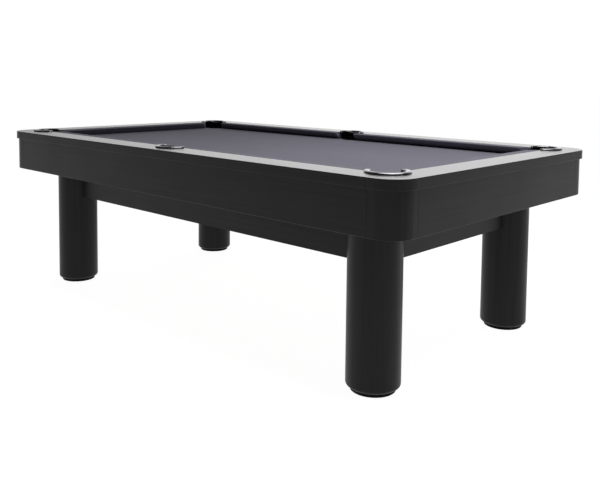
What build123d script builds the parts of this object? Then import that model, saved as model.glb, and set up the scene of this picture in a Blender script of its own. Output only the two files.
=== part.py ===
from build123d import *
import math
import os

os.makedirs("parts", exist_ok=True)

# An eight-foot pool table. Millimetres, +Z up, +X along the table's length. The origin is on the
# floor under the middle of the table; "front" is -Y and "right" is +X.

# ---- driving dimensions ---------------------------------------------------------------------------
TABLE_LENGTH = 2590.8       # outside of the rails
TABLE_WIDTH = 1473.2
RAIL_TOP = 812.8
PLAY_LENGTH = 2235.2        # between cushion noses
PLAY_WIDTH = 1117.6
RAIL_THICKNESS = 38.1
RAIL_CORNER_RADIUS = 101.6
CORNER_PIECE = 130.0        # side of the square corner piece of the rail
SEAM_GAP = 0.8              # open joint between a corner piece and the boards beside it
WOOD_WIDTH = 127.0          # visible wood of a rail, from the outer edge to the cloth

CLOTH = 1.1                 # worsted wool cloth on the cushions
BED_CLOTH = 1.0
SLATE_THICKNESS = 25.4
SLATE_LENGTH = 2435.2
SLATE_WIDTH = 1317.6
SLATE_JOINT_X = 406.4       # the two joints between the three slates

CORNER_POCKET = (1144.9, 586.1)
CORNER_BORE = 60.0
CORNER_FLANGE = 81.5
CORNER_HALF_ANGLE = 122.0   # half the turn of the casting, from the outward direction
CORNER_MOUTH = 121.6        # between the cushion noses
CORNER_FACING_ANGLE = 38.0  # the facing's lean away from the nose line
SIDE_POCKET_Y = 616.6
SIDE_BORE = 58.0
SIDE_FLANGE = 74.0
SIDE_HALF_ANGLE = 104.0
SIDE_MOUTH = 130.0
SIDE_FACING_ANGLE = 76.0
SKIRT = 4.0                 # wall of the casting's skirt
BORE_CLEARANCE = 0.4        # round that skirt, in the rails' bores
CASTING_RISE = 9.5          # how far the casting stands above the rail
FACING = 4.0                # rubber facing at each cushion end

APRON_INSET = 10.4
APRON_THICKNESS = 19.0
APRON_BOTTOM = 613.4
LEG_CENTRE = (1023.0, 487.0)
LEG_RADIUS = 101.6
LEG_BOTTOM = 15.0
LEG_TOP = 634.0
BEAM_THICKNESS = 38.0
SIDE_BEAM_Y = 513.0         # outer face of the side beams
END_BEAM_X = 1057.0         # outer face of the end beams
BEAM_BOTTOM = 465.4
CROSS_BEAM_WIDTH = 76.0
CROSS_BEAM_DEPTH = 140.0

FOOT_RADIUS = 85.0
FOOT_GAP = 0.3              # between the leveller and the parts above and below it
STEM_RADIUS = 10.0
RUNNING = 0.05              # radial running clearance

# ---- heights and lines that follow from them ------------------------------------------------------
HALF_LENGTH = TABLE_LENGTH / 2
HALF_WIDTH = TABLE_WIDTH / 2
RAIL_WIDTH = (TABLE_LENGTH - PLAY_LENGTH) / 2       # outer edge to cushion nose
RAIL_BOTTOM = RAIL_TOP - RAIL_THICKNESS
SLATE_TOP = RAIL_BOTTOM - BED_CLOTH
SLATE_BOTTOM = SLATE_TOP - SLATE_THICKNESS
SEAM_X = HALF_LENGTH - CORNER_PIECE
SEAM_Y = HALF_WIDTH - CORNER_PIECE
CORNERS = {"front_left": (-1, -1), "front_right": (1, -1), "back_right": (1, 1), "back_left": (-1, 1)}
SIDES = {"front": -1, "back": 1}
ENDS = {"left": -1, "right": 1}

# Each edge of the table has an upright plane: local x runs inward from the outer edge, local y is up.
EDGE = {
    "front": Plane(origin=(0, -HALF_WIDTH, 0), x_dir=(0, 1, 0), z_dir=(1, 0, 0)),
    "back": Plane(origin=(0, HALF_WIDTH, 0), x_dir=(0, -1, 0), z_dir=(-1, 0, 0)),
    "right": Plane(origin=(HALF_LENGTH, 0, 0), x_dir=(-1, 0, 0), z_dir=(0, 1, 0)),
    "left": Plane(origin=(-HALF_LENGTH, 0, 0), x_dir=(1, 0, 0), z_dir=(0, -1, 0)),
}


def save(piece, label):
    piece.part.label = label
    export_step(piece.part, f"parts/{label}.step")


def on_edge(edge, along, inward):
    """Plan point at a distance along an edge from the table's middle and inward from that edge."""
    if edge in SIDES:
        return (along, SIDES[edge] * (HALF_WIDTH - inward))
    return (ENDS[edge] * (HALF_LENGTH - inward), along)


def pocket_list():
    """Every pocket as (name, x, y, outward angle in degrees, is it a corner pocket)."""
    pockets = []
    for name, (sx, sy) in CORNERS.items():
        outward = math.degrees(math.atan2(sy, sx))
        pockets.append((name, sx * CORNER_POCKET[0], sy * CORNER_POCKET[1], outward, True))
    for name, sy in SIDES.items():
        pockets.append((name, 0.0, sy * SIDE_POCKET_Y, 90.0 * sy, False))
    return pockets


POCKETS = pocket_list()


def upright(x, y, angle=0.0):
    """Upright plane through a vertical axis: local x points outward at the angle, local y is up."""
    c, s = math.cos(math.radians(angle)), math.sin(math.radians(angle))
    return Plane(origin=(x, y, 0), x_dir=(c, s, 0), z_dir=(s, -c, 0))


def polygon_face(points, mode=Mode.ADD):
    with BuildLine() as outline:
        Polyline(*points, close=True)
    make_face(outline.edges(), mode=mode)


def box_between(low, high, mode=Mode.ADD):
    """A box from its low corner to its high corner, inside a part block."""
    with BuildSketch(Plane.XY.offset(low[2])) as plan:
        polygon_face([(low[0], low[1]), (high[0], low[1]), (high[0], high[1]), (low[0], high[1])])
    extrude(plan.sketch, amount=high[2] - low[2], mode=mode)


def round_bars(places, radius, low, high, mode=Mode.ADD):
    """Vertical round bars or holes at a list of plan points."""
    with BuildSketch(Plane.XY.offset(low)) as plan:
        with Locations(*places):
            Circle(radius)
    extrude(plan.sketch, amount=high - low, mode=mode)


def pocket_cut():
    """Round bores through a rail or cushion for the castings' skirts."""
    for _, x, y, _, corner in POCKETS:
        radius = (CORNER_BORE if corner else SIDE_BORE) + SKIRT + BORE_CLEARANCE
        round_bars([(x, y)], radius, RAIL_BOTTOM - 1, RAIL_TOP + 1, Mode.SUBTRACT)


NOTCH_REACH = 200.0         # past the slate's edge


def pocket_notch(grow, low, high):
    """U-shaped notches at the pockets, round inside and open to the slate's edge."""
    for _, x, y, outward, corner in POCKETS:
        radius = (CORNER_BORE if corner else SIDE_BORE) + grow
        place = Plane(origin=(x, y, low), x_dir=upright(x, y, outward).x_dir, z_dir=(0, 0, 1))
        with BuildSketch(place) as notch:
            Circle(radius)
            Rectangle(NOTCH_REACH, 2 * radius, align=(Align.MIN, Align.CENTER))
        extrude(notch.sketch, amount=high - low, mode=Mode.SUBTRACT)


# ---- where the fasteners go -----------------------------------------------------------------------
RAIL_BOLT_INWARD = 102.6
RAIL_BOLTS = [on_edge(e, a * s, RAIL_BOLT_INWARD) for e in SIDES for a in (200, 560, 920) for s in (-1, 1)]
RAIL_BOLTS += [on_edge(e, a, RAIL_BOLT_INWARD) for e in ENDS for a in (-350, 0, 350)]
BRACKETS = [(e, a * s) for e in SIDES for a in (300, 700, 1080) for s in (-1, 1)]
BRACKETS += [(e, a) for e in ENDS for a in (-500, 0, 500)]
BOLT_RADIUS = 4.75
LEG_BOLT_OFFSETS = ((23.0, 62.0), (62.0, 23.0))     # inward from the leg's centre
BLOCK_SIZE = 90.0
BLOCK_TOP = 706.0
NUT_PLATE = (50.0, 30.0, 7.0)
SPLICE = 28.0               # half the length of a splice block
SCREW_RADIUS = 2.0
SLATE_SCREW_RADIUS = 2.5
PILOT_DEPTH = 35.0          # of the slate screws' holes in the beams


def slate_screw_pilots():
    """Pilot holes for the slate screws in the tops of the beams."""
    low = SLATE_BOTTOM - PILOT_DEPTH
    round_bars(slate_screw_places(), SLATE_SCREW_RADIUS, low, SLATE_BOTTOM, Mode.SUBTRACT)


def leg_bolt_places():
    places = []
    for sx, sy in CORNERS.values():
        for dx, dy in LEG_BOLT_OFFSETS:
            places.append((sx * (LEG_CENTRE[0] - dx), sy * (LEG_CENTRE[1] - dy)))
    return places


def slate_screw_places():
    joint = 20.0            # from the joint to its screws
    beam_middle_y = SIDE_BEAM_Y - BEAM_THICKNESS / 2
    beam_middle_x = END_BEAM_X - BEAM_THICKNESS / 2
    places = []
    for sx in (-1, 1):
        for x in (SLATE_JOINT_X - joint, SLATE_JOINT_X + joint):
            for y in (-380, -127, 127, 380):
                places.append((sx * x, y))
        for sy in (-1, 1):
            places.append((sx * 820, sy * beam_middle_y))
            places.append((sx * beam_middle_x, sy * 250))
    return places


def casting_screw_places():
    """Four screws into each casting's flange, spread round its horseshoe."""
    places = []
    for _, x, y, outward, corner in POCKETS:
        radius = 73.0 if corner else 68.0
        for turn in (-95, -40, 40, 95) if corner else (-80, -38, 38, 80):
            a = math.radians(outward + turn)
            places.append((x + radius * math.cos(a), y + radius * math.sin(a)))
    return places


# ---- plan shapes of rails and cushions ------------------------------------------------------------
CORNER_NOSE_SIDE = PLAY_LENGTH / 2 - CORNER_MOUTH / math.sqrt(2)    # nose end on a long rail
CORNER_NOSE_END = PLAY_WIDTH / 2 - CORNER_MOUTH / math.sqrt(2)      # nose end on a short rail
BEYOND = RAIL_WIDTH + 6.0   # a line just past the nose, so that the cut runs clear of it


def corner_facing(nose, inward, trim=0.0):
    """Distance along the edge of a corner pocket facing, at a distance inward from the edge."""
    lean = math.radians(CORNER_FACING_ANGLE)
    return nose + (RAIL_WIDTH - inward) / math.tan(lean) - trim / math.sin(lean)


def side_facing(inward, trim=0.0):
    lean = math.radians(SIDE_FACING_ANGLE)
    return SIDE_MOUTH / 2 - (RAIL_WIDTH - inward) / math.tan(lean) + trim / math.sin(lean)


def cushion_outline(edge, sign, trim, back):
    """Plan outline of one cushion from a line behind it to past its nose."""
    nose = CORNER_NOSE_SIDE if edge in SIDES else CORNER_NOSE_END
    far, near = corner_facing(nose, back, trim), corner_facing(nose, BEYOND, trim)
    if edge in SIDES:
        start, stop = side_facing(back, trim), side_facing(BEYOND, trim)
    else:
        start, stop = -far, -near
    points = ((start, back), (far, back), (near, BEYOND), (stop, BEYOND))
    return [on_edge(edge, sign * u, v) for u, v in points]


CUSHIONS = [(e, s) for e in SIDES for s in (-1, 1)] + [(e, 1) for e in ENDS]


def cushion_masks(edges, trim, back, mode=Mode.INTERSECT):
    with BuildSketch(Plane.XY.offset(RAIL_BOTTOM - 5)) as masks:
        for edge, sign in CUSHIONS:
            if edge in edges:
                polygon_face(cushion_outline(edge, sign, trim, back))
    extrude(masks.sketch, amount=RAIL_THICKNESS + 10, mode=mode)


# ---- rail section, in distance inward from the edge and height ------------------------------------
GROOVE_DEPTH = 8.0
GROOVE_WIDTH = 4.9
SUBRAIL_FRONT = 146.0
SUBRAIL_BEVEL = (138.0, RAIL_BOTTOM + 8.65)     # the bevel's foot inward, and its upper height
SUBRAIL_TOP = RAIL_TOP - CLOTH
TUCK = WOOD_WIDTH + GROOVE_WIDTH    # the groove's inner wall
NOSE_TIP = RAIL_WIDTH - CLOTH


def wood_section():
    """Rail wood: flat top, feather-strip groove, and a lowered, bevelled front under the cloth."""
    polygon_face([
        (0, RAIL_BOTTOM), (SUBRAIL_BEVEL[0], RAIL_BOTTOM), (SUBRAIL_FRONT, SUBRAIL_BEVEL[1]),
        (SUBRAIL_FRONT, SUBRAIL_TOP), (TUCK, SUBRAIL_TOP), (TUCK, RAIL_TOP - GROOVE_DEPTH),
        (WOOD_WIDTH, RAIL_TOP - GROOVE_DEPTH), (WOOD_WIDTH, RAIL_TOP), (0, RAIL_TOP),
    ])


def nose_lines(back_points):
    """The cushion's top, rounded nose and sloping underside, closed by points behind it."""
    with BuildLine() as outline:
        top = Line((back_points[-1]), (NOSE_TIP - 2.5, SUBRAIL_TOP))
        nose = ThreePointArc(top @ 1, (NOSE_TIP, SUBRAIL_TOP - 2.1), (NOSE_TIP - 1.5, SUBRAIL_TOP - 4.5))
        Line(nose @ 1, back_points[0])
        for start, end in zip(back_points, back_points[1:]):
            Line(start, end)
    make_face(outline.edges())


def rubber_section():
    nose_lines([(SUBRAIL_FRONT, SUBRAIL_BEVEL[1]), (SUBRAIL_FRONT, SUBRAIL_TOP)])


def covered_section():
    """Everything that the rail cloth wraps: the sub-rail's front and the rubber."""
    nose_lines([
        (SUBRAIL_FRONT, SUBRAIL_BEVEL[1]), (SUBRAIL_BEVEL[0], RAIL_BOTTOM), (TUCK, RAIL_BOTTOM),
        (TUCK, SUBRAIL_TOP),
    ])


# ==== legs and feet ================================================================================
PAD_RADIUS = 84.0
PAD_THICKNESS = 3.0
PAD_BOSS = (12.0, 9.0)      # radius and top of the pivot on the pad
STEM_TOP = 75.0
INSERT_RADIUS = 14.0
INSERT_TOP = 65.0
LEG_FOOT_ROUND = 13.0

for name, (sx, sy) in CORNERS.items():
    x, y = sx * LEG_CENTRE[0], sy * LEG_CENTRE[1]
    column = upright(x, y)
    spin = Axis((x, y, 0), (0, 0, 1))

    # Turned hardwood column with a rounded foot edge, bored for the insert and the stem.
    with BuildPart() as leg:
        with BuildSketch(column):
            polygon_face([(0, LEG_BOTTOM), (LEG_RADIUS, LEG_BOTTOM), (LEG_RADIUS, LEG_TOP), (0, LEG_TOP)])
        revolve(axis=spin)
        fillet(leg.edges().filter_by(GeomType.CIRCLE).group_by(Axis.Z)[0], LEG_FOOT_ROUND)
        round_bars([(x, y)], INSERT_RADIUS, LEG_BOTTOM, INSERT_TOP, Mode.SUBTRACT)
        round_bars([(x, y)], STEM_RADIUS + 2, INSERT_TOP, STEM_TOP + 5, Mode.SUBTRACT)
        bolts = [p for p in leg_bolt_places() if p[0] * sx > 0 and p[1] * sy > 0]
        round_bars(bolts, BOLT_RADIUS, LEG_TOP - 68, LEG_TOP, Mode.SUBTRACT)
    save(leg, f"leg_{name}")

    # Levelling foot: a flat round disc turned by hand, with its threaded stem in one piece.
    with BuildPart() as leveller:
        disc_low = PAD_THICKNESS + FOOT_GAP
        disc_high = LEG_BOTTOM - FOOT_GAP
        with BuildSketch(column):
            polygon_face([
                (0, PAD_BOSS[1] + FOOT_GAP), (PAD_BOSS[0] + RUNNING, PAD_BOSS[1] + FOOT_GAP),
                (PAD_BOSS[0] + RUNNING, disc_low), (FOOT_RADIUS - 1, disc_low),
                (FOOT_RADIUS, disc_low + 1), (FOOT_RADIUS, disc_high - 2),
                (FOOT_RADIUS - 2, disc_high), (STEM_RADIUS, disc_high),
                (STEM_RADIUS, STEM_TOP - 2), (STEM_RADIUS - 2, STEM_TOP), (0, STEM_TOP),
            ])
        revolve(axis=spin)
    save(leveller, f"leveller_{name}")

    # Glide pad on the floor, with the pivot that the disc turns on.
    with BuildPart() as pad:
        with BuildSketch(column):
            polygon_face([
                (0, 0), (PAD_RADIUS - 1, 0), (PAD_RADIUS, 1), (PAD_RADIUS, PAD_THICKNESS),
                (PAD_BOSS[0], PAD_THICKNESS), PAD_BOSS, (0, PAD_BOSS[1]),
            ])
        revolve(axis=spin)
    save(pad, f"foot_pad_{name}")

LEG_PLACES = [(sx * LEG_CENTRE[0], sy * LEG_CENTRE[1]) for sx, sy in CORNERS.values()]

# Threaded steel bushes in the legs' foot ends.
with BuildPart() as leg_inserts:
    round_bars(LEG_PLACES, INSERT_RADIUS, LEG_BOTTOM, INSERT_TOP)
    round_bars(LEG_PLACES, STEM_RADIUS + RUNNING, LEG_BOTTOM, INSERT_TOP, Mode.SUBTRACT)
save(leg_inserts, "leg_inserts")

# ==== frame ========================================================================================
FRAME_BOLT_RADIUS = 4.0
FRAME_BOLT_LENGTH = 90.0
FRAME_BOLT_HEIGHTS = (654.0, 690.0)
FRAME_BOLT_HEAD = (9.0, 4.0)        # radius and height
BLOCK_X = END_BEAM_X - BEAM_THICKNESS       # the block's outer faces, against the beams
BLOCK_Y = SIDE_BEAM_Y - BEAM_THICKNESS
SIDE_BOLT_SETBACK = 78.0                    # from the block's outer face to the side beam's bolts
END_BOLT_SETBACK = 30.0


def frame_bolt_bars(edge, radius, length, outside=0.0, mode=Mode.ADD):
    """Level round bars square to a beam, inward from a little outside its outer face."""
    spread = BLOCK_X - SIDE_BOLT_SETBACK if edge in SIDES else BLOCK_Y - END_BOLT_SETBACK
    face = HALF_WIDTH - SIDE_BEAM_Y if edge in SIDES else HALF_LENGTH - END_BEAM_X
    plane = EDGE[edge]
    origin = plane.origin + plane.x_dir * (face - outside)
    with BuildSketch(Plane(origin=origin, x_dir=plane.z_dir, z_dir=plane.x_dir)) as bars:
        with Locations(*[(s * spread, -h) for s in (-1, 1) for h in FRAME_BOLT_HEIGHTS]):
            Circle(radius)
    extrude(bars.sketch, amount=length, mode=mode)


def frame_bolt_holes(edge):
    frame_bolt_bars(edge, FRAME_BOLT_RADIUS, FRAME_BOLT_LENGTH, mode=Mode.SUBTRACT)


for name, sy in SIDES.items():
    low_y, high_y = sorted((sy * SIDE_BEAM_Y, sy * (SIDE_BEAM_Y - BEAM_THICKNESS)))
    # Deep board on edge, coped to the legs below their tops and standing on them above.
    with BuildPart() as side_beam:
        box_between((-END_BEAM_X, low_y, BEAM_BOTTOM), (END_BEAM_X, high_y, SLATE_BOTTOM))
        round_bars(LEG_PLACES, LEG_RADIUS, 0, LEG_TOP, Mode.SUBTRACT)
        frame_bolt_holes(name)
        slate_screw_pilots()
    save(side_beam, f"side_beam_{name}")

# The end beams are like them, fitted between the side beams.
with BuildPart() as end_beams:
    for sx in ENDS.values():
        low_x, high_x = sorted((sx * END_BEAM_X, sx * (END_BEAM_X - BEAM_THICKNESS)))
        box_between((low_x, -BLOCK_Y, BEAM_BOTTOM), (high_x, BLOCK_Y, SLATE_BOTTOM))
    round_bars(LEG_PLACES, LEG_RADIUS, 0, LEG_TOP, Mode.SUBTRACT)
    for name in ENDS:
        frame_bolt_holes(name)
    slate_screw_pilots()
save(end_beams, "end_beams")

SPINE_GAP = 0.2             # at each end of a spine length

# Two cross beams under the slate joints, and a spine in three lengths between them and the ends.
with BuildPart() as inner_beams:
    for sx in (-1, 1):
        low_x = sx * SLATE_JOINT_X - CROSS_BEAM_WIDTH / 2
        box_between((low_x, -BLOCK_Y, SLATE_BOTTOM - CROSS_BEAM_DEPTH),
                    (low_x + CROSS_BEAM_WIDTH, BLOCK_Y, SLATE_BOTTOM))
    half = BEAM_THICKNESS / 2
    joint_in = SLATE_JOINT_X - CROSS_BEAM_WIDTH / 2
    joint_out = SLATE_JOINT_X + CROSS_BEAM_WIDTH / 2
    spine_low = SLATE_BOTTOM - CROSS_BEAM_DEPTH
    for low_x, high_x in ((-BLOCK_X, -joint_out), (-joint_in, joint_in), (joint_out, BLOCK_X)):
        box_between((low_x + SPINE_GAP, -half, spine_low), (high_x - SPINE_GAP, half, SLATE_BOTTOM))
    slate_screw_pilots()
save(inner_beams, "inner_beams")

# Hardwood blocks in the frame's corners, on the leg tops.
with BuildPart() as corner_blocks:
    for sx, sy in CORNERS.values():
        low_x, high_x = sorted((sx * BLOCK_X, sx * (BLOCK_X - BLOCK_SIZE)))
        low_y, high_y = sorted((sy * BLOCK_Y, sy * (BLOCK_Y - BLOCK_SIZE)))
        box_between((low_x, low_y, LEG_TOP), (high_x, high_y, BLOCK_TOP))
    round_bars(leg_bolt_places(), BOLT_RADIUS, LEG_TOP, BLOCK_TOP, Mode.SUBTRACT)
    for edge in EDGE:
        frame_bolt_holes(edge)
save(corner_blocks, "corner_blocks")

HEAD_HEIGHT = 6.0
WASHER = (11.0, 2.0)        # radius and thickness


def hex_heads(places, across, low):
    with BuildSketch(Plane.XY.offset(low)) as heads:
        with Locations(*places):
            RegularPolygon(across / 2, 6, major_radius=False)
    extrude(heads.sketch, amount=HEAD_HEIGHT)


# Bolts down through the blocks into the legs.
with BuildPart() as leg_bolts:
    round_bars(leg_bolt_places(), BOLT_RADIUS, LEG_TOP - 66, BLOCK_TOP + WASHER[1])
    hex_heads(leg_bolt_places(), 14.3, BLOCK_TOP + WASHER[1])
save(leg_bolts, "leg_bolts")

# Bolts through the beams into the blocks, with round heads on the beams' outer faces.
with BuildPart() as frame_bolts:
    for edge in EDGE:
        frame_bolt_bars(edge, FRAME_BOLT_RADIUS, FRAME_BOLT_LENGTH)
        frame_bolt_bars(edge, FRAME_BOLT_HEAD[0], FRAME_BOLT_HEAD[1], outside=FRAME_BOLT_HEAD[1])
save(frame_bolts, "frame_bolts")

# ==== slate bed ====================================================================================
BACKING_WIDTH = 60.0
BACKING_THICKNESS = 19.0
BACKING_BOTTOM = SLATE_BOTTOM - BACKING_THICKNESS
DOWEL_RADIUS = 4.0
DOWEL_LENGTH = 50.0
SLATE_MIDDLE = (SLATE_TOP + SLATE_BOTTOM) / 2
DOWEL_Y = (-300.0, 300.0)


def dowel_bars(mode):
    for sx in (-1, 1):
        start = Plane(origin=(sx * SLATE_JOINT_X - DOWEL_LENGTH / 2, 0, SLATE_MIDDLE),
                      x_dir=(0, 1, 0), z_dir=(1, 0, 0))
        with BuildSketch(start) as bars:
            with Locations(*[(y, 0) for y in DOWEL_Y]):
                Circle(DOWEL_RADIUS)
        extrude(bars.sketch, amount=DOWEL_LENGTH, mode=mode)


SLATES = {
    "left": (-SLATE_LENGTH / 2, -SLATE_JOINT_X),
    "middle": (-SLATE_JOINT_X, SLATE_JOINT_X),
    "right": (SLATE_JOINT_X, SLATE_LENGTH / 2),
}
for name, (low_x, high_x) in SLATES.items():
    inside = [p for p in slate_screw_places() if low_x < p[0] < high_x]
    with BuildPart() as slate:
        box_between((low_x, -SLATE_WIDTH / 2, SLATE_BOTTOM), (high_x, SLATE_WIDTH / 2, SLATE_TOP))
        pocket_notch(1.5, SLATE_BOTTOM, SLATE_TOP)
        with Locations(*[(x, y, SLATE_TOP) for x, y in inside]):
            CounterSinkHole(SLATE_SCREW_RADIUS, 6.0, SLATE_THICKNESS)
        holes = [p for p in RAIL_BOLTS if low_x < p[0] < high_x]
        round_bars(holes, BOLT_RADIUS + 2, SLATE_BOTTOM, SLATE_TOP, Mode.SUBTRACT)
        dowel_bars(Mode.SUBTRACT)
    save(slate, f"slate_{name}")

# Pine strips glued under the slates' edges: the cloth is stapled to them.
with BuildPart() as slate_backing:
    box_between((-SLATE_LENGTH / 2, -SLATE_WIDTH / 2, BACKING_BOTTOM),
                (SLATE_LENGTH / 2, SLATE_WIDTH / 2, SLATE_BOTTOM))
    inner_x = SLATE_LENGTH / 2 - BACKING_WIDTH
    inner_y = SLATE_WIDTH / 2 - BACKING_WIDTH
    box_between((-inner_x, -inner_y, BACKING_BOTTOM), (inner_x, inner_y, SLATE_BOTTOM), Mode.SUBTRACT)
    for sx in (-1, 1):
        box_between((sx * SLATE_JOINT_X - 0.5, -HALF_WIDTH, BACKING_BOTTOM),
                    (sx * SLATE_JOINT_X + 0.5, HALF_WIDTH, SLATE_BOTTOM), Mode.SUBTRACT)
    pocket_notch(12.0, BACKING_BOTTOM, SLATE_BOTTOM)
    round_bars(RAIL_BOLTS, BOLT_RADIUS + 2, BACKING_BOTTOM, SLATE_BOTTOM, Mode.SUBTRACT)
save(slate_backing, "slate_backing")

with BuildPart() as slate_dowels:
    dowel_bars(Mode.ADD)
save(slate_dowels, "slate_dowels")

# Countersunk screws from the slate into the frame.
screw_tip = SLATE_BOTTOM - PILOT_DEPTH + 2
head_edge = 5.0
with BuildPart() as slate_screws:
    for x, y in slate_screw_places():
        with BuildSketch(upright(x, y)):
            polygon_face([
                (0, screw_tip), (SLATE_SCREW_RADIUS, screw_tip), (SLATE_SCREW_RADIUS, SLATE_TOP - 3.9),
                (head_edge, SLATE_TOP - 1.0), (0, SLATE_TOP - 1.0),
            ])
        revolve(axis=Axis((x, y, 0), (0, 0, 1)))
save(slate_screws, "slate_screws")

# Cloth stretched over the slates, clamped under the rails.
with BuildPart() as bed_cloth:
    box_between((-SLATE_LENGTH / 2, -SLATE_WIDTH / 2, SLATE_TOP),
                (SLATE_LENGTH / 2, SLATE_WIDTH / 2, RAIL_BOTTOM))
    pocket_notch(1.5, SLATE_TOP, RAIL_BOTTOM)
    round_bars(RAIL_BOLTS, BOLT_RADIUS + 2, SLATE_TOP, RAIL_BOTTOM, Mode.SUBTRACT)
save(bed_cloth, "bed_cloth")

# ==== rails ========================================================================================
EDGE_ROUND = 2.5
CASTING_SCREW_RADIUS = 2.5
CASTING_HEAD = (5.0, 8.0)   # radius and depth of the counterbore under the rail


def rail_holes():
    """Bolt holes, nut-plate recesses, casting-screw holes and bracket-screw holes in a rail."""
    round_bars(RAIL_BOLTS, BOLT_RADIUS + 0.5, RAIL_BOTTOM, RAIL_BOTTOM + 26, Mode.SUBTRACT)
    for x, y in RAIL_BOLTS:
        along_x = abs(y) > SEAM_Y
        size = NUT_PLATE if along_x else (NUT_PLATE[1], NUT_PLATE[0])
        box_between((x - size[0] / 2 - 0.5, y - size[1] / 2 - 0.5, RAIL_BOTTOM),
                    (x + size[0] / 2 + 0.5, y + size[1] / 2 + 0.5, RAIL_BOTTOM + 8.5), Mode.SUBTRACT)
    round_bars(casting_screw_places(), CASTING_SCREW_RADIUS, RAIL_BOTTOM, RAIL_TOP, Mode.SUBTRACT)
    head_top = RAIL_BOTTOM + CASTING_HEAD[1]
    round_bars(casting_screw_places(), CASTING_HEAD[0], RAIL_BOTTOM, head_top, Mode.SUBTRACT)
    brackets = [bracket_screw(e, a) for e, a in BRACKETS]
    round_bars(brackets, SCREW_RADIUS, RAIL_BOTTOM, RAIL_BOTTOM + 18, Mode.SUBTRACT)
    round_bars(liner_screw_places(), SCREW_RADIUS, RAIL_BOTTOM, RAIL_BOTTOM + 15, Mode.SUBTRACT)


APRON_OUT = APRON_INSET
APRON_IN = APRON_INSET + APRON_THICKNESS
BRACKET = (35.0, 3.0, 40.0)         # leg, thickness and width of the steel angle


def bracket_screw(edge, along):
    return on_edge(edge, along, APRON_IN + 20.0)


def liner_screw_places():
    places = []
    for _, x, y, outward, corner in POCKETS:
        a = math.radians(outward)
        radius = (CORNER_BORE if corner else SIDE_BORE) + 15.0
        places.append((x + radius * math.cos(a), y + radius * math.sin(a)))
    return places


def rail_blank(edges, outlines):
    """Rail wood along the named edges, cut to its plan outlines and bored for the castings."""
    for edge in edges:
        with BuildSketch(EDGE[edge]) as section:
            wood_section()
            fillet(section.vertices().group_by(Axis.X)[0], EDGE_ROUND)
        extrude(section.sketch, amount=HALF_LENGTH, both=True)
    with BuildSketch(Plane.XY.offset(RAIL_BOTTOM - 5)) as plan:
        for outline in outlines:
            polygon_face(outline)
    extrude(plan.sketch, amount=RAIL_THICKNESS + 10, mode=Mode.INTERSECT)
    pocket_cut()
    rail_holes()


SHOULDER = 118.0            # the wood's line behind the cushions, between the facings

for name in SIDES:
    half_outlines = [cushion_outline(name, s, FACING, SHOULDER - 10) for s in (-1, 1)]
    strip = [on_edge(name, u, v) for u, v in (
        (-SEAM_X, 0), (SEAM_X, 0), (SEAM_X, SHOULDER), (-SEAM_X, SHOULDER))]
    with BuildPart() as side_rail:
        rail_blank([name], [strip] + half_outlines)
    save(side_rail, f"side_rail_{name}")

for name in ENDS:
    strip = [on_edge(name, u, v) for u, v in (
        (-SEAM_Y, 0), (SEAM_Y, 0), (SEAM_Y, SHOULDER), (-SEAM_Y, SHOULDER))]
    with BuildPart() as end_rail:
        rail_blank([name], [strip, cushion_outline(name, 1, FACING, SHOULDER - 10)])
    save(end_rail, f"end_rail_{name}")


def corner_squares():
    """Plan squares at the table's corners, from just outside the seams to past the edges."""
    near_x, near_y = SEAM_X + SEAM_GAP, SEAM_Y + SEAM_GAP
    for sx, sy in CORNERS.values():
        polygon_face([
            (sx * near_x, sy * near_y), (sx * TABLE_LENGTH, sy * near_y),
            (sx * TABLE_LENGTH, sy * TABLE_LENGTH), (sx * near_x, sy * TABLE_LENGTH)])


# Rounded corner pieces of the rail, outside the corner castings.
with BuildPart() as rail_corners:
    with BuildSketch(Plane.XY.offset(RAIL_BOTTOM)):
        RectangleRounded(TABLE_LENGTH, TABLE_WIDTH, RAIL_CORNER_RADIUS)
    extrude(amount=RAIL_THICKNESS)
    outer = rail_corners.edges().group_by(Axis.Z)
    fillet(outer[-1] + outer[0], EDGE_ROUND)
    with BuildSketch(Plane.XY.offset(RAIL_BOTTOM - 5)):
        corner_squares()
    extrude(amount=RAIL_THICKNESS + 10, mode=Mode.INTERSECT)
    pocket_cut()
    rail_holes()
save(rail_corners, "rail_corners")

for label, edges in (("side_cushions", SIDES), ("end_cushions", ENDS)):
    with BuildPart() as cushions:
        for edge in edges:
            with BuildSketch(EDGE[edge]):
                rubber_section()
            extrude(amount=HALF_LENGTH, both=True)
        cushion_masks(edges, FACING, SHOULDER)
        pocket_cut()
    save(cushions, label)

# Rubber facings glued to the cushions' ends at the pockets.
with BuildPart() as cushion_facings:
    for edge in EDGE:
        with BuildSketch(EDGE[edge]):
            covered_section()
        extrude(amount=HALF_LENGTH, both=True)
    cushion_masks(EDGE, 0.0, SHOULDER)
    cushion_masks(EDGE, FACING, SHOULDER - 5, Mode.SUBTRACT)
    pocket_cut()
save(cushion_facings, "cushion_facings")

# Cloth over each cushion, tucked into the groove and stapled under the rail.
with BuildPart() as rail_cloth:
    for edge in EDGE:
        with BuildSketch(EDGE[edge]):
            covered_section()
            offset(amount=CLOTH)
            with Locations((TUCK / 2 - 50, RAIL_BOTTOM - 40)):
                Rectangle(TUCK + 200, 80, mode=Mode.SUBTRACT)
            polygon_face([(0, 0), (TUCK, 0), (TUCK, RAIL_TOP - GROOVE_DEPTH), (0, RAIL_TOP - GROOVE_DEPTH)],
                         Mode.SUBTRACT)
        extrude(amount=HALF_LENGTH, both=True)
    for edge in EDGE:
        with BuildSketch(EDGE[edge]):
            covered_section()
        extrude(amount=HALF_LENGTH, both=True, mode=Mode.SUBTRACT)
    cushion_masks(EDGE, 0.0, SHOULDER)
    pocket_cut()
save(rail_cloth, "rail_cloth")

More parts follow.
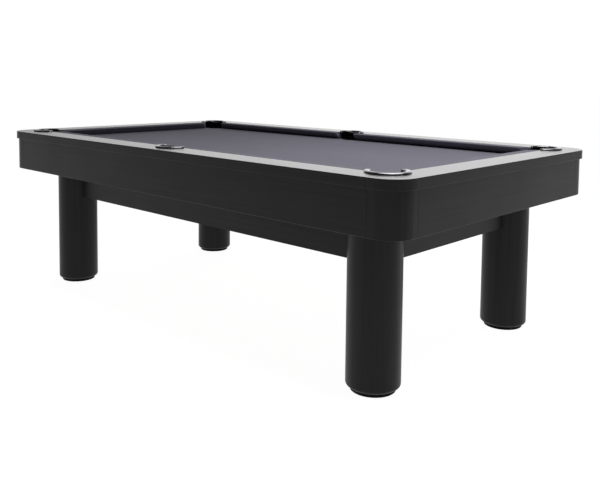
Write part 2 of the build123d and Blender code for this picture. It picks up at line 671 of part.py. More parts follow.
# Strips that lock the cloth in the groove.
with BuildPart() as feather_strips:
    for edge in EDGE:
        with BuildSketch(EDGE[edge]):
            polygon_face([
                (WOOD_WIDTH, RAIL_TOP - GROOVE_DEPTH), (TUCK - CLOTH, RAIL_TOP - GROOVE_DEPTH),
                (TUCK - CLOTH, RAIL_TOP - 0.3), (WOOD_WIDTH, RAIL_TOP - 0.3)])
        extrude(amount=HALF_LENGTH, both=True)
    cushion_masks(EDGE, FACING, SHOULDER)
    pocket_cut()
save(feather_strips, "feather_strips")

# ---- rail fasteners -------------------------------------------------------------------------------
with BuildPart() as rail_bolts:
    round_bars(RAIL_BOLTS, BOLT_RADIUS, BACKING_BOTTOM - WASHER[1], RAIL_BOTTOM + 24)
    hex_heads(RAIL_BOLTS, 14.3, BACKING_BOTTOM - WASHER[1] - HEAD_HEIGHT)
save(rail_bolts, "rail_bolts")

with BuildPart() as nut_plates:
    for x, y in RAIL_BOLTS:
        along_x = abs(y) > SEAM_Y
        size = NUT_PLATE if along_x else (NUT_PLATE[1], NUT_PLATE[0])
        box_between((x - size[0] / 2, y - size[1] / 2, RAIL_BOTTOM + 1),
                    (x + size[0] / 2, y + size[1] / 2, RAIL_BOTTOM + 1 + NUT_PLATE[2]))
    round_bars(RAIL_BOLTS, BOLT_RADIUS, RAIL_BOTTOM, RAIL_BOTTOM + 10, Mode.SUBTRACT)
save(nut_plates, "nut_plates")

with BuildPart() as washers:
    round_bars(RAIL_BOLTS, WASHER[0], BACKING_BOTTOM - WASHER[1], BACKING_BOTTOM)
    round_bars(leg_bolt_places(), WASHER[0], BLOCK_TOP, BLOCK_TOP + WASHER[1])
    both = RAIL_BOLTS + leg_bolt_places()
    round_bars(both, BOLT_RADIUS, BLOCK_TOP, BACKING_BOTTOM, Mode.SUBTRACT)
save(washers, "washers")

# ==== pockets ======================================================================================
SCREW_BITE = 5.0            # casting screws enter the flange this far
LINER_WALL = 3.0
LINER_BOTTOM = 651.0
LINER_BACK = 60.0           # half angle of the liner's raised back
LINER_TAB = 12.0            # half angle of its screw tab

for name, x, y, outward, corner in POCKETS:
    label = f"{name}_corner" if corner else f"{name}_side"
    bore = CORNER_BORE if corner else SIDE_BORE
    flange = CORNER_FLANGE if corner else SIDE_FLANGE
    half_angle = CORNER_HALF_ANGLE if corner else SIDE_HALF_ANGLE
    axis = Axis((x, y, 0), (0, 0, 1))

    # Polished casting: a crowned horseshoe flange on the rail and a skirt that lines the pocket.
    with BuildPart() as casting:
        with BuildSketch(upright(x, y, outward - half_angle)):
            with BuildLine():
                crown = (bore + flange) / 2
                inner = Line((bore, RAIL_BOTTOM + 0.3), (bore, RAIL_TOP + 2))
                dome = ThreePointArc(inner @ 1, (crown, RAIL_TOP + CASTING_RISE), (flange, RAIL_TOP + 1))
                Polyline(dome @ 1, (flange, RAIL_TOP), (bore + SKIRT, RAIL_TOP),
                         (bore + SKIRT, RAIL_BOTTOM + 0.3), inner @ 0)
            make_face()
        revolve(axis=axis, revolution_arc=2 * half_angle)
        bite_top = RAIL_TOP + SCREW_BITE
        round_bars(casting_screw_places(), CASTING_SCREW_RADIUS, RAIL_TOP, bite_top, Mode.SUBTRACT)
    save(casting, f"pocket_casting_{label}")

    # Moulded drop-pocket liner: a cup under the slate with a raised back and a screw tab.
    liner_out = bore + 5.5 + (2.0 if corner else 0.0)
    liner_in = liner_out - LINER_WALL
    with BuildPart() as liner:
        with BuildSketch(upright(x, y, outward)):
            polygon_face([
                (0, LINER_BOTTOM), (liner_out, LINER_BOTTOM), (liner_out, SLATE_BOTTOM - 0.2),
                (liner_in, SLATE_BOTTOM - 0.2), (liner_in, LINER_BOTTOM + LINER_WALL),
                (0, LINER_BOTTOM + LINER_WALL)])
        revolve(axis=axis)
        fillet(liner.edges().filter_by(GeomType.CIRCLE).group_by(Axis.Z)[0], 8)
        with BuildSketch(upright(x, y, outward - LINER_BACK)):
            polygon_face([
                (liner_in, SLATE_BOTTOM - 5), (liner_out, SLATE_BOTTOM - 5), (liner_out, RAIL_BOTTOM),
                (liner_in, RAIL_BOTTOM)])
        revolve(axis=axis, revolution_arc=2 * LINER_BACK)
        with BuildSketch(upright(x, y, outward - LINER_TAB)):
            polygon_face([
                (liner_in + 1, RAIL_BOTTOM - 3), (bore + 22, RAIL_BOTTOM - 3), (bore + 22, RAIL_BOTTOM),
                (liner_in + 1, RAIL_BOTTOM)])
        revolve(axis=axis, revolution_arc=2 * LINER_TAB)
        round_bars(liner_screw_places(), SCREW_RADIUS, RAIL_BOTTOM - 5, RAIL_BOTTOM + 1, Mode.SUBTRACT)
    save(liner, f"pocket_liner_{label}")

# Machine screws up through the rails into the castings.
with BuildPart() as casting_screws:
    head_low, head_high = RAIL_BOTTOM + 4, RAIL_BOTTOM + CASTING_HEAD[1]
    round_bars(casting_screw_places(), CASTING_SCREW_RADIUS, head_low, RAIL_TOP + SCREW_BITE - 0.5)
    round_bars(casting_screw_places(), CASTING_HEAD[0] - 0.5, head_low, head_high)
save(casting_screws, "casting_screws")

# ==== apron ========================================================================================
SPLICE_THICKNESS = 19.0
SPLICE_LOW = APRON_BOTTOM + 10
SPLICE_HIGH = RAIL_BOTTOM - 12
SPLICE_IN = APRON_IN + SPLICE_THICKNESS
BRACKET_SCREW_DROP = 22.0
SCREW_HEAD = (4.0, 2.5)


def level_screws(edge, places, start, reach, radius, mode):
    """Level round bars square to an edge, from a line inward of it out towards the edge."""
    plane = EDGE[edge]
    base = Plane(origin=plane.origin + plane.x_dir * start, x_dir=plane.z_dir, z_dir=-plane.x_dir)
    with BuildSketch(base) as bars:
        with Locations(*places):
            Circle(radius)
    extrude(bars.sketch, amount=reach, mode=mode)


def bracket_screw_level(edge):
    along = [a for e, a in BRACKETS if e == edge]
    flip = 1 if edge in ("front", "right") else -1
    return [(flip * a, RAIL_BOTTOM - BRACKET_SCREW_DROP) for a in along]


def splice_screw_level(edge):
    seam = SEAM_X if edge in SIDES else SEAM_Y
    heights = (SPLICE_LOW + 30, SPLICE_HIGH - 30)
    return [(s * (seam + d), z) for s in (-1, 1) for d in (-14, 14) for z in heights]


def apron_screw_holes(edge):
    level_screws(edge, bracket_screw_level(edge), APRON_IN + 1, 15, SCREW_RADIUS, Mode.SUBTRACT)
    level_screws(edge, splice_screw_level(edge), APRON_IN + 1, 14, SCREW_RADIUS, Mode.SUBTRACT)


def apron_board(edge):
    """A board from seam to seam under a rail, its lower outer edge eased."""
    with BuildSketch(EDGE[edge]) as section:
        polygon_face([
            (APRON_OUT, APRON_BOTTOM), (APRON_IN, APRON_BOTTOM),
            (APRON_IN, RAIL_BOTTOM), (APRON_OUT, RAIL_BOTTOM)])
        fillet(section.vertices().group_by(Axis.Y)[0].sort_by(Axis.X)[0], 2)
    extrude(section.sketch, amount=SEAM_X if edge in SIDES else SEAM_Y, both=True)
    apron_screw_holes(edge)


for name in SIDES:
    with BuildPart() as side_apron:
        apron_board(name)
    save(side_apron, f"side_apron_{name}")

with BuildPart() as end_aprons:
    for name in ENDS:
        apron_board(name)
save(end_aprons, "end_aprons")

def apron_plan(inset):
    """The apron's rounded plan outline at an inset from the rails' outer edge."""
    RectangleRounded(TABLE_LENGTH - 2 * inset, TABLE_WIDTH - 2 * inset, RAIL_CORNER_RADIUS - inset)


# Bent corner pieces of the apron.
with BuildPart() as apron_corners:
    with BuildSketch(Plane.XY.offset(APRON_BOTTOM)):
        apron_plan(APRON_OUT)
    extrude(amount=RAIL_BOTTOM - APRON_BOTTOM)
    fillet(apron_corners.edges().group_by(Axis.Z)[0], 2)
    with BuildSketch(Plane.XY.offset(APRON_BOTTOM)):
        apron_plan(APRON_IN)
    extrude(amount=RAIL_BOTTOM - APRON_BOTTOM, mode=Mode.SUBTRACT)
    with BuildSketch(Plane.XY.offset(APRON_BOTTOM - 5)):
        corner_squares()
    extrude(amount=RAIL_BOTTOM - APRON_BOTTOM + 10, mode=Mode.INTERSECT)
    for edge in EDGE:
        apron_screw_holes(edge)
save(apron_corners, "apron_corners")

# Blocks behind the seams, screwed to the apron and its corner pieces.
with BuildPart() as splice_blocks:
    for edge in EDGE:
        seam = SEAM_X if edge in SIDES else SEAM_Y
        for s in (-1, 1):
            a = on_edge(edge, s * (seam - SPLICE), APRON_IN)
            b = on_edge(edge, s * (seam + SPLICE), SPLICE_IN)
            low = (min(a[0], b[0]), min(a[1], b[1]), SPLICE_LOW)
            box_between(low, (max(a[0], b[0]), max(a[1], b[1]), SPLICE_HIGH))
    for edge in EDGE:
        level_screws(edge, splice_screw_level(edge), SPLICE_IN + 1, 30, SCREW_RADIUS, Mode.SUBTRACT)
save(splice_blocks, "splice_blocks")

# Steel angles between the rails' undersides and the aprons.
with BuildPart() as apron_brackets:
    leg_length, thick, width = BRACKET
    for edge, along in BRACKETS:
        plane = EDGE[edge]
        flip = 1 if edge in ("front", "right") else -1
        place = Plane(origin=plane.origin + plane.z_dir * (flip * along - width / 2),
                      x_dir=plane.x_dir, z_dir=plane.z_dir)
        with BuildSketch(place):
            polygon_face([
                (APRON_IN, RAIL_BOTTOM), (APRON_IN + leg_length, RAIL_BOTTOM),
                (APRON_IN + leg_length, RAIL_BOTTOM - thick), (APRON_IN + thick, RAIL_BOTTOM - thick),
                (APRON_IN + thick, RAIL_BOTTOM - leg_length), (APRON_IN, RAIL_BOTTOM - leg_length)])
        extrude(amount=width)
    up = [bracket_screw(e, a) for e, a in BRACKETS]
    round_bars(up, SCREW_RADIUS, RAIL_BOTTOM - thick, RAIL_BOTTOM, Mode.SUBTRACT)
    for edge in EDGE:
        level_screws(edge, bracket_screw_level(edge), APRON_IN + 4, 6, SCREW_RADIUS, Mode.SUBTRACT)
save(apron_brackets, "apron_brackets")

# Pan-head wood screws: brackets, splice blocks and pocket liners.
with BuildPart() as wood_screws:
    head_radius, head_height = SCREW_HEAD
    under = RAIL_BOTTOM - BRACKET[1]
    round_bars(up, SCREW_RADIUS, under, RAIL_BOTTOM + 16)
    round_bars(up, head_radius, under - head_height, under)
    round_bars(liner_screw_places(), SCREW_RADIUS, RAIL_BOTTOM - 3, RAIL_BOTTOM + 13)
    round_bars(liner_screw_places(), head_radius, RAIL_BOTTOM - 3 - head_height, RAIL_BOTTOM - 3)
    for edge in EDGE:
        brackets, splices = bracket_screw_level(edge), splice_screw_level(edge)
        for places, face, reach in ((brackets, APRON_IN + BRACKET[1], 15), (splices, SPLICE_IN, 31)):
            level_screws(edge, places, face, reach, SCREW_RADIUS, Mode.ADD)
            level_screws(edge, places, face + head_height, head_height, head_radius, Mode.ADD)
save(wood_screws, "wood_screws")
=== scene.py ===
import math

import bmesh
import bpy
import numpy as np
from mathutils import Matrix, Vector


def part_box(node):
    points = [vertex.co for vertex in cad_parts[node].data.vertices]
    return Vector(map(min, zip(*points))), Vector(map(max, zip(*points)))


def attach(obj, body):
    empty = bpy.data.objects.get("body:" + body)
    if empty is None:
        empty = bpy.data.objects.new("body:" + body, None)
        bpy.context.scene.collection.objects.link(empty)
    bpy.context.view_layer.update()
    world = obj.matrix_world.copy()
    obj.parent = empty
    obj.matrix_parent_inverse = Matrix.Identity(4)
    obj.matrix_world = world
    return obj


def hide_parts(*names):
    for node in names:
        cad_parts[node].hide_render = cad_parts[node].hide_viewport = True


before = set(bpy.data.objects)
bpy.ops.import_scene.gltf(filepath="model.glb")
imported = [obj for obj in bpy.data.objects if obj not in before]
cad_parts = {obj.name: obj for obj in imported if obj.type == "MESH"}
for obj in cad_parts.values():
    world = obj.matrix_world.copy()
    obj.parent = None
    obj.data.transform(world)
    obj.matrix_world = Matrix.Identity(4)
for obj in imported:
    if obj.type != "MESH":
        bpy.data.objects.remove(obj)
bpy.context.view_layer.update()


# ---- legs and levelling feet ------------------------------------------------------------------------
# Four turned hardwood columns under a charcoal stain and a satin lacquer: close, straight grain that
# shows as faint streaks, finer pores between them, and a slightly uneven sheen. Each stands on a flat
# black steel disc whose stem screws into the leg, and a moulded pad turns under the disc.


class Wire:
    """One output of a material's nodes. Arithmetic on wires and numbers adds Math nodes."""

    def __init__(self, finish, socket):
        self.finish = finish
        self.socket = socket

    def maths(self, operation, *values):
        return self.finish.node("ShaderNodeMath", {"operation": operation}, dict(enumerate(values)))

    def __add__(self, other):
        return self.maths("ADD", self, other)

    def __sub__(self, other):
        return self.maths("SUBTRACT", self, other)

    def __rsub__(self, other):
        return self.maths("SUBTRACT", other, self)

    def __mul__(self, other):
        return self.maths("MULTIPLY", self, other)

    def __pow__(self, other):
        return self.maths("POWER", self, other)

    __radd__ = __add__
    __rmul__ = __mul__


class Finish:
    """A material, or the studio's sky, being built: node() gives a new node's output as a Wire."""

    def __init__(self, name, world=None):
        self.material = world or bpy.data.materials.new(name)
        self.material.use_nodes = True
        self.tree = self.material.node_tree
        self.shader = self.tree.nodes["Background" if world else "Principled BSDF"]

    def node(self, kind, settings=None, inputs=None, output=0):
        node = self.tree.nodes.new(kind)
        for key, value in (settings or {}).items():
            setattr(node, key, value)
        for key, value in (inputs or {}).items():
            self.join(node.inputs[key], value)
        return Wire(self, node.outputs[output])

    def join(self, socket, value):
        if isinstance(value, Wire):
            self.tree.links.new(value.socket, socket)
        elif socket.type == "RGBA" and len(value) == 3:
            socket.default_value = (*value, 1.0)
        else:
            socket.default_value = value

    def set(self, **sockets):
        """The shader's sockets by name, with _ for a space."""
        for key, value in sockets.items():
            self.join(self.shader.inputs[key.replace("_", " ")], value)
        return self

    def place(self, stretch=(1.0, 1.0, 1.0)):
        """Object coordinates, scaled along the axes."""
        where = self.node("ShaderNodeTexCoord", output="Object")
        return self.node("ShaderNodeMapping", {}, {"Vector": where, "Scale": stretch})

    def noise(self, where, scale, detail=3.0, roughness=0.5):
        return self.node("ShaderNodeTexNoise", {}, {
            "Vector": where, "Scale": scale, "Detail": detail, "Roughness": roughness})

    def spread(self, value, low, high):
        """A value's share of the way from low to high, held between 0 and 1."""
        limits = {"From Min": low, "From Max": high}
        return self.node("ShaderNodeMapRange", {}, {"Value": value, **limits})

    def mix(self, factor, first, second):
        """A colour between two colours."""
        colours = {0: factor, 6: first, 7: second}
        return self.node("ShaderNodeMix", {"data_type": "RGBA"}, colours, output=2)

    def bump(self, height, distance, strength=1.0):
        return self.node("ShaderNodeBump", {}, {
            "Height": height, "Distance": distance, "Strength": strength})


def dress(finish, *names):
    """Gives CAD nodes one material all over."""
    for name in names:
        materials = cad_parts[name].data.materials
        materials.clear()
        materials.append(finish.material)


def grained_wood(name, grain, dark, light, roughness, shine=0.5, relief=0.35):
    """Wood whose grain runs along the named axis: long streaks, short pores and a cloudy sheen."""
    finish = Finish(name)
    streak, pore = [60.0] * 3, [420.0] * 3
    streak["xyz".index(grain)] = 1.6
    pore["xyz".index(grain)] = 14.0
    streaks = finish.noise(finish.place(tuple(streak)), 1.0, 4.0, 0.6)
    pores = finish.noise(finish.place(tuple(pore)), 1.0, 2.0)
    cloudy = finish.noise(finish.place(), 5.0, 2.0)
    tone = finish.spread(streaks * 0.7 + pores * 0.3, 0.3, 0.7)
    finish.set(
        Base_Color=finish.mix(tone, dark, light),
        Roughness=(cloudy - 0.5) * 0.10 + (pores - 0.5) * 0.12 + roughness,
        Specular_IOR_Level=shine,
        Normal=finish.bump(pores * 0.6 + streaks * 0.4, 0.0002, relief))
    return finish


def fine_black(name, colour, roughness, grain, depth):
    """Black paint or plastic with a fine pebbled grain and faint dust in its sheen."""
    finish = Finish(name)
    pebble = finish.noise(finish.place(), grain, 2.0)
    cloudy = finish.noise(finish.place(), 9.0, 3.0)
    light = tuple(2.2 * c for c in colour)
    finish.set(
        Base_Color=finish.mix(cloudy * 0.6, colour, light),
        Roughness=(cloudy - 0.5) * 0.16 + roughness,
        Specular_IOR_Level=0.12,
        Normal=finish.bump(pebble, depth, 0.5))
    return finish


CHARCOAL_DARK = (0.0085, 0.0085, 0.0090)
CHARCOAL_LIGHT = (0.0155, 0.0155, 0.0160)
UPRIGHT_SHINE = 0.14
upright_wood = grained_wood("charcoal_upright", "z", CHARCOAL_DARK, CHARCOAL_LIGHT, 0.40, UPRIGHT_SHINE)
foot_paint = fine_black("foot_paint", (0.0006, 0.0006, 0.0007), 0.70, 1600.0, 0.00008)
pad_plastic = fine_black("pad_plastic", (0.0014, 0.0014, 0.0014), 0.70, 900.0, 0.00015)
CORNERS = {"front_left": (-1, -1), "front_right": (1, -1), "back_right": (1, 1), "back_left": (-1, 1)}
for corner in CORNERS:
    dress(upright_wood, f"leg_{corner}")
    dress(foot_paint, f"leveller_{corner}")
    dress(pad_plastic, f"foot_pad_{corner}")

# ---- frame ------------------------------------------------------------------------------------------
# Deep charcoal boards on edge between the legs, with bare pine cross beams, a spine and corner blocks
# inside them. Zinc-plated bolts hold the blocks to the legs and the beams to the blocks.


def plated_steel(name, colour, roughness):
    """Zinc plate: dull metal with a cloudy spangle."""
    finish = Finish(name)
    spangle = finish.noise(finish.place(), 160.0, 3.0, 0.6)
    rub = finish.noise(finish.place(), 22.0, 2.0)
    dull = tuple(0.72 * c for c in colour)
    finish.set(
        Base_Color=finish.mix(spangle, dull, colour), Metallic=1.0,
        Roughness=(spangle - 0.5) * 0.22 + (rub - 0.5) * 0.15 + roughness,
        Normal=finish.bump(spangle, 0.00006, 0.4))
    return finish


long_wood = grained_wood("charcoal_long", "x", CHARCOAL_DARK, CHARCOAL_LIGHT, 0.40, UPRIGHT_SHINE)
cross_wood = grained_wood("charcoal_cross", "y", CHARCOAL_DARK, CHARCOAL_LIGHT, 0.40, UPRIGHT_SHINE)
PINE_DARK, PINE_LIGHT = (0.30, 0.185, 0.095), (0.52, 0.37, 0.21)
pine = grained_wood("bare_pine", "y", PINE_DARK, PINE_LIGHT, 0.62, 0.35, 0.6)
zinc = plated_steel("zinc_plate", (0.56, 0.56, 0.57), 0.36)
dress(long_wood, "side_beam_front", "side_beam_back")
dress(cross_wood, "end_beams")
dress(pine, "inner_beams", "corner_blocks")
dress(zinc, "leg_inserts", "leg_bolts", "frame_bolts", "washers")

# ---- slate bed --------------------------------------------------------------------------------------
# Three ground slates, dowelled edge to edge and screwed down to the frame, with pine strips glued
# under their edges for the cloth's staples.
slate = Finish("ground_slate")
bed_of_rock = slate.noise(slate.place((1.0, 1.0, 12.0)), 7.0, 6.0, 0.6)
mica = slate.noise(slate.place(), 700.0, 2.0)
slate.set(
    Base_Color=slate.mix(bed_of_rock * 0.7 + mica * 0.3, (0.070, 0.074, 0.082), (0.150, 0.155, 0.165)),
    Roughness=(mica - 0.5) * 0.2 + 0.66,
    Normal=slate.bump(mica * 0.4 + bed_of_rock * 0.6, 0.0003, 0.4))
dress(slate, "slate_left", "slate_middle", "slate_right")
dress(pine, "slate_backing")
dress(zinc, "slate_dowels", "slate_screws")

# ---- bed cloth --------------------------------------------------------------------------------------
# One sheet of worsted wool, grey with a violet cast, stretched flat over the slates and folded down
# over their edges and into the pocket cut-outs, where it is glued and stapled.
FOLD = 0.0026           # radius of the cloth's turn over a slate edge
FOLD_DROP = 0.019       # how far it hangs down past the turn
PLAY_HALF = 0.545       # a little less than half the width between the cushions' noses
CLOSEST = 0.0002        # between neighbouring columns of its mesh
CLOTH_THICKNESS = 0.0009


def grid_mesh(name, grid, weld=False):
    """A smooth piece from a (rows, columns, 3) grid of points: each cell is one face. Welding merges
    points that lie together, as at a pole."""
    rows, columns = grid.shape[:2]
    index = np.arange(rows * columns).reshape(rows, columns)
    cells = np.stack([index[:-1, :-1], index[:-1, 1:], index[1:, 1:], index[1:, :-1]], axis=-1)
    mesh = bpy.data.meshes.new(name)
    mesh.from_pydata(grid.reshape(-1, 3).tolist(), [], cells.reshape(-1, 4).tolist())
    if weld:
        work = bmesh.new()
        work.from_mesh(mesh)
        bmesh.ops.remove_doubles(work, verts=work.verts, dist=0.00002)
        work.to_mesh(mesh)
        work.free()
    mesh.polygons.foreach_set("use_smooth", np.ones(len(mesh.polygons), bool))
    piece = bpy.data.objects.new(name, mesh)
    bpy.context.scene.collection.objects.link(piece)
    return piece


def fit(piece, finish, slot, *replaced):
    """A finished piece goes on the table's body in its material and stands for its CAD nodes."""
    piece.data.materials.append(finish.material)
    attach(piece, "table")
    if replaced:
        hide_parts(*replaced)


def thicken(piece, thickness):
    """Gives a one-sided surface its thickness, under the side that shows."""
    shell = piece.modifiers.new("thickness", "SOLIDIFY")
    shell.thickness = thickness
    shell.offset = -1.0


def worsted_cloth(name, dark, light):
    """Worsted wool: a fine twill across the nap, short fibres, and a faint unevenness of dye."""
    finish = Finish(name)
    twill = finish.node("ShaderNodeTexWave", {"wave_type": "BANDS", "bands_direction": "DIAGONAL"}, {
        "Vector": finish.place(), "Scale": 230.0, "Distortion": 1.5, "Detail": 2.0,
        "Detail Scale": 4.0}, output=1)
    fibres = finish.noise(finish.place((1.0, 5.0, 5.0)), 420.0, 3.0, 0.65)
    dye = finish.noise(finish.place((0.6, 1.0, 1.0)), 3.5, 3.0)
    tone = finish.spread(fibres * 0.55 + twill * 0.20 + dye * 0.25, 0.30, 0.72)
    finish.set(
        Base_Color=finish.mix(tone, dark, light),
        Roughness=(fibres - 0.5) * 0.12 + 0.88,
        Specular_IOR_Level=0.15,
        Sheen_Weight=0.02, Sheen_Roughness=0.45,
        Normal=finish.bump(twill * 0.5 + fibres * 0.5, 0.00025, 0.5))
    return finish


cloth = worsted_cloth("worsted_cloth", (0.150, 0.145, 0.180), (0.205, 0.200, 0.240))
slate_x, slate_y, bed_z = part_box("bed_cloth")[1]


CORNER_BORE, SIDE_BORE = 0.0600, 0.0580      # radii of the castings' bores
CORNER_X, CORNER_Y, SIDE_Y = 1.1449, 0.5861, 0.6166     # how far the pockets' axes are from the middle
CORNER_ARC = CORNER_BORE + 0.0015       # radii of the slate's cut-outs
SIDE_ARC = SIDE_BORE + 0.0015
DIAGONAL = 0.5 ** 0.5


def bed_edge(x):
    """The cloth's half width at each x, and the way over its edge there as a plan direction. Beside a
    pocket the edge is the near arc of a circle, c - sqrt(r^2 - (x - cx)^2), and past a corner pocket's
    arc a straight line at 45 degrees; elsewhere it is the slate's edge."""
    x = np.abs(x)
    half = np.full_like(x, slate_y)
    way = np.stack([np.zeros_like(x), np.ones_like(x)], axis=-1)
    for cx, cy, r, last in ((0.0, SIDE_Y, SIDE_ARC, 1.0), (CORNER_X, CORNER_Y, CORNER_ARC, DIAGONAL)):
        inside = (x > cx - r) & (x <= cx + last * r)
        drop = np.sqrt(np.clip(r * r - (x - cx) ** 2, 0.0, None))
        half = np.where(inside, cy - drop, half)
        toward = np.stack([cx - x, drop], axis=-1) / r
        way = np.where(inside[:, None], toward, way)
    bend = CORNER_X + CORNER_ARC * DIAGONAL
    past = x > bend
    half = np.where(past, CORNER_Y - CORNER_ARC * DIAGONAL + (x - bend), half)
    way = np.where(past[:, None], np.array([-DIAGONAL, DIAGONAL]), way)
    return half, way


def bed_columns():
    """Places along the table: even, with the round edges of the pockets followed closely."""
    turn = np.linspace(0.0, math.pi, 33)
    just_inside = 0.000001
    near = [np.cos(turn) * (SIDE_ARC - just_inside)]
    for side in (-1, 1):
        near.append(side * (CORNER_X - np.cos(turn) * (CORNER_ARC - just_inside)))
    x = np.concatenate([np.linspace(-slate_x, slate_x, 121), *near])
    x = np.sort(x[np.abs(x) <= slate_x])
    return x[np.concatenate([[True], np.diff(x) > CLOSEST])]


def stretched_bed():
    """The flat of the cloth has even rows between the cushions and, outside them, rows that close in
    on the edge; past the edge it turns down through a quarter circle and hangs straight."""
    x = bed_columns()
    half, way = bed_edge(x)
    way = way * np.stack([np.sign(x), np.ones_like(x)], axis=-1)
    bend = np.linspace(0.0, math.pi / 2, 6)
    over = np.concatenate([FOLD * np.sin(bend), [FOLD]])
    down = np.concatenate([FOLD * (1 - np.cos(bend)), [FOLD_DROP]])
    flat = np.linspace(-PLAY_HALF, PLAY_HALF, 49)
    margin = np.linspace(0.0, 1.0, 7)[1:, None, None]
    rows = []
    for side in (-1, 1):
        # the turn starts a fold's radius inside the edge
        hem_x = x + (over[:, None] - FOLD) * way[:, 0]
        hem_y = side * (half + (over[:, None] - FOLD) * way[:, 1])
        hem_z = np.broadcast_to(bed_z - down[:, None], hem_x.shape)
        hem = np.stack([hem_x, hem_y, hem_z], axis=-1)
        rows.append(hem[::-1] if side < 0 else hem)
    start, stop = rows[0][-1], rows[1][0]
    along, across = np.meshgrid(x, flat)
    middle = np.stack([along, across, np.full_like(along, bed_z)], axis=-1)
    before = start * (1 - margin) + middle[0] * margin
    after = middle[-1] * (1 - margin) + stop * margin
    grid = np.concatenate([rows[0], before[:-1], middle, after[:-1], rows[1]])
    return grid_mesh("bed_cloth_sheet", np.flip(grid, axis=0))


bed_sheet = stretched_bed()
thicken(bed_sheet, CLOTH_THICKNESS)
fit(bed_sheet, cloth, "bed_felt", "bed_cloth")

# ---- rails ------------------------------------------------------------------------------------------
# Flat charcoal boards, bolted up through the slate, with rounded corner pieces outside the corner
# pockets. Their tops are rubbed out to a clear lacquer, so they mirror light at a low angle.
rail_long = grained_wood("rail_long", "x", CHARCOAL_DARK, CHARCOAL_LIGHT, 0.40, UPRIGHT_SHINE, 0.2)
rail_cross = grained_wood("rail_cross", "y", CHARCOAL_DARK, CHARCOAL_LIGHT, 0.40, UPRIGHT_SHINE, 0.2)
for finish in (rail_long, rail_cross):
    normal = finish.node("ShaderNodeNewGeometry", output="Normal")
    level = finish.node("ShaderNodeSeparateXYZ", {}, {"Vector": normal}, output="Z")
    finish.set(Coat_Weight=finish.spread(level, 0.55, 0.95), Coat_Roughness=0.22, Coat_IOR=1.5)
dress(rail_long, "side_rail_front", "side_rail_back", "rail_corners")
dress(rail_cross, "end_rail_left", "end_rail_right")
dress(zinc, "rail_bolts", "nut_plates")

# ---- cushions ---------------------------------------------------------------------------------------
# Six lengths of gum rubber glued to the rails' fronts, with harder black facings at the pockets.
# Each is wrapped in the same cloth, which is locked in a groove by a feather strip, drawn over the
# nose, folded over the facings and stapled underneath.
rail_low, rail_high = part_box("side_rail_front")
RAIL_TOP, RAIL_BOTTOM = rail_high.z, rail_low.z
HALF_WIDTH = -rail_low.y
HALF_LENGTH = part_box("end_rail_right")[1].x
NOSE = HALF_WIDTH - 0.5588       # the cushions' noses, inward from the table's edge
TUCK = 0.1319                   # the groove that the cloth is locked in
SUBRAIL_FRONT = 0.146           # where the wood ends and the rubber begins
CORNER_NOSE = {"side": 1.0316, "end": 0.4728}       # where a cushion's nose ends at a corner pocket
CORNER_LEAN = math.radians(38.0)
SIDE_LEAN = math.radians(76.0)
SIDE_MOUTH = 0.130
CASTING_SKIRT = 0.0046      # the casting's wall and the clearance round it
END_ROUND = 0.0016          # how softly the cloth turns over a cushion's end
WRAP = 0.0011               # how far the cloth stands proud of the facing under it
COVER_SPANS = 40            # lengths of the mesh between a cover's two ends


def softened(points, cuts, steps=6):
    """A line through points whose corners are replaced by parabolas that start a cut before them."""
    points = np.array(points)
    t = np.linspace(0.0, 1.0, steps)[:, None]
    parts = [points[:1]]
    for before, at, after, cut in zip(points, points[1:], points[2:], cuts):
        start = at + (before - at) * cut / np.linalg.norm(before - at)
        stop = at + (after - at) * cut / np.linalg.norm(after - at)
        parts.append((1 - t) ** 2 * start + 2 * t * (1 - t) * at + t ** 2 * stop)
    parts.append(points[-1:])
    return np.concatenate(parts)


# Distance inward from the table's edge, and height: groove, top, nose, underside, foot of the rail.
COVER = softened([
    (TUCK + 0.0003, RAIL_TOP - 0.006), (TUCK + 0.0003, RAIL_TOP), (NOSE, RAIL_TOP),
    (NOSE - 0.0002, RAIL_TOP - 0.0055), (SUBRAIL_FRONT + 0.0012, RAIL_BOTTOM + 0.0076),
    (0.1393, RAIL_BOTTOM + 0.0003)], (0.0008, 0.0026, 0.0022, 0.003))
COVER_CORE = np.array([0.152, RAIL_BOTTOM + 0.026])


def corner_end(kind, inward):
    """How far along its edge a cushion reaches at a corner pocket: the leaning facing, or the
    casting's round skirt where that comes first."""
    facing = CORNER_NOSE[kind] + (NOSE - inward) / math.tan(CORNER_LEAN) + WRAP / math.sin(CORNER_LEAN)
    if kind == "side":
        along, across = CORNER_X, HALF_WIDTH - CORNER_Y
    else:
        along, across = CORNER_Y, HALF_LENGTH - CORNER_X
    reach = np.clip((CORNER_BORE + CASTING_SKIRT) ** 2 - (inward - across) ** 2, 0.0, None)
    return np.minimum(facing, along - np.sqrt(reach))


def side_end(inward):
    """How far from the middle a cushion starts beside a side pocket: its facing, which leans less, or
    the casting's round skirt where that reaches farther."""
    facing = SIDE_MOUTH / 2 - (NOSE - inward) / math.tan(SIDE_LEAN) - WRAP / math.sin(SIDE_LEAN)
    reach = np.clip((SIDE_BORE + CASTING_SKIRT) ** 2 - (inward - HALF_WIDTH + SIDE_Y) ** 2, 0.0, None)
    return np.maximum(facing, np.sqrt(reach))


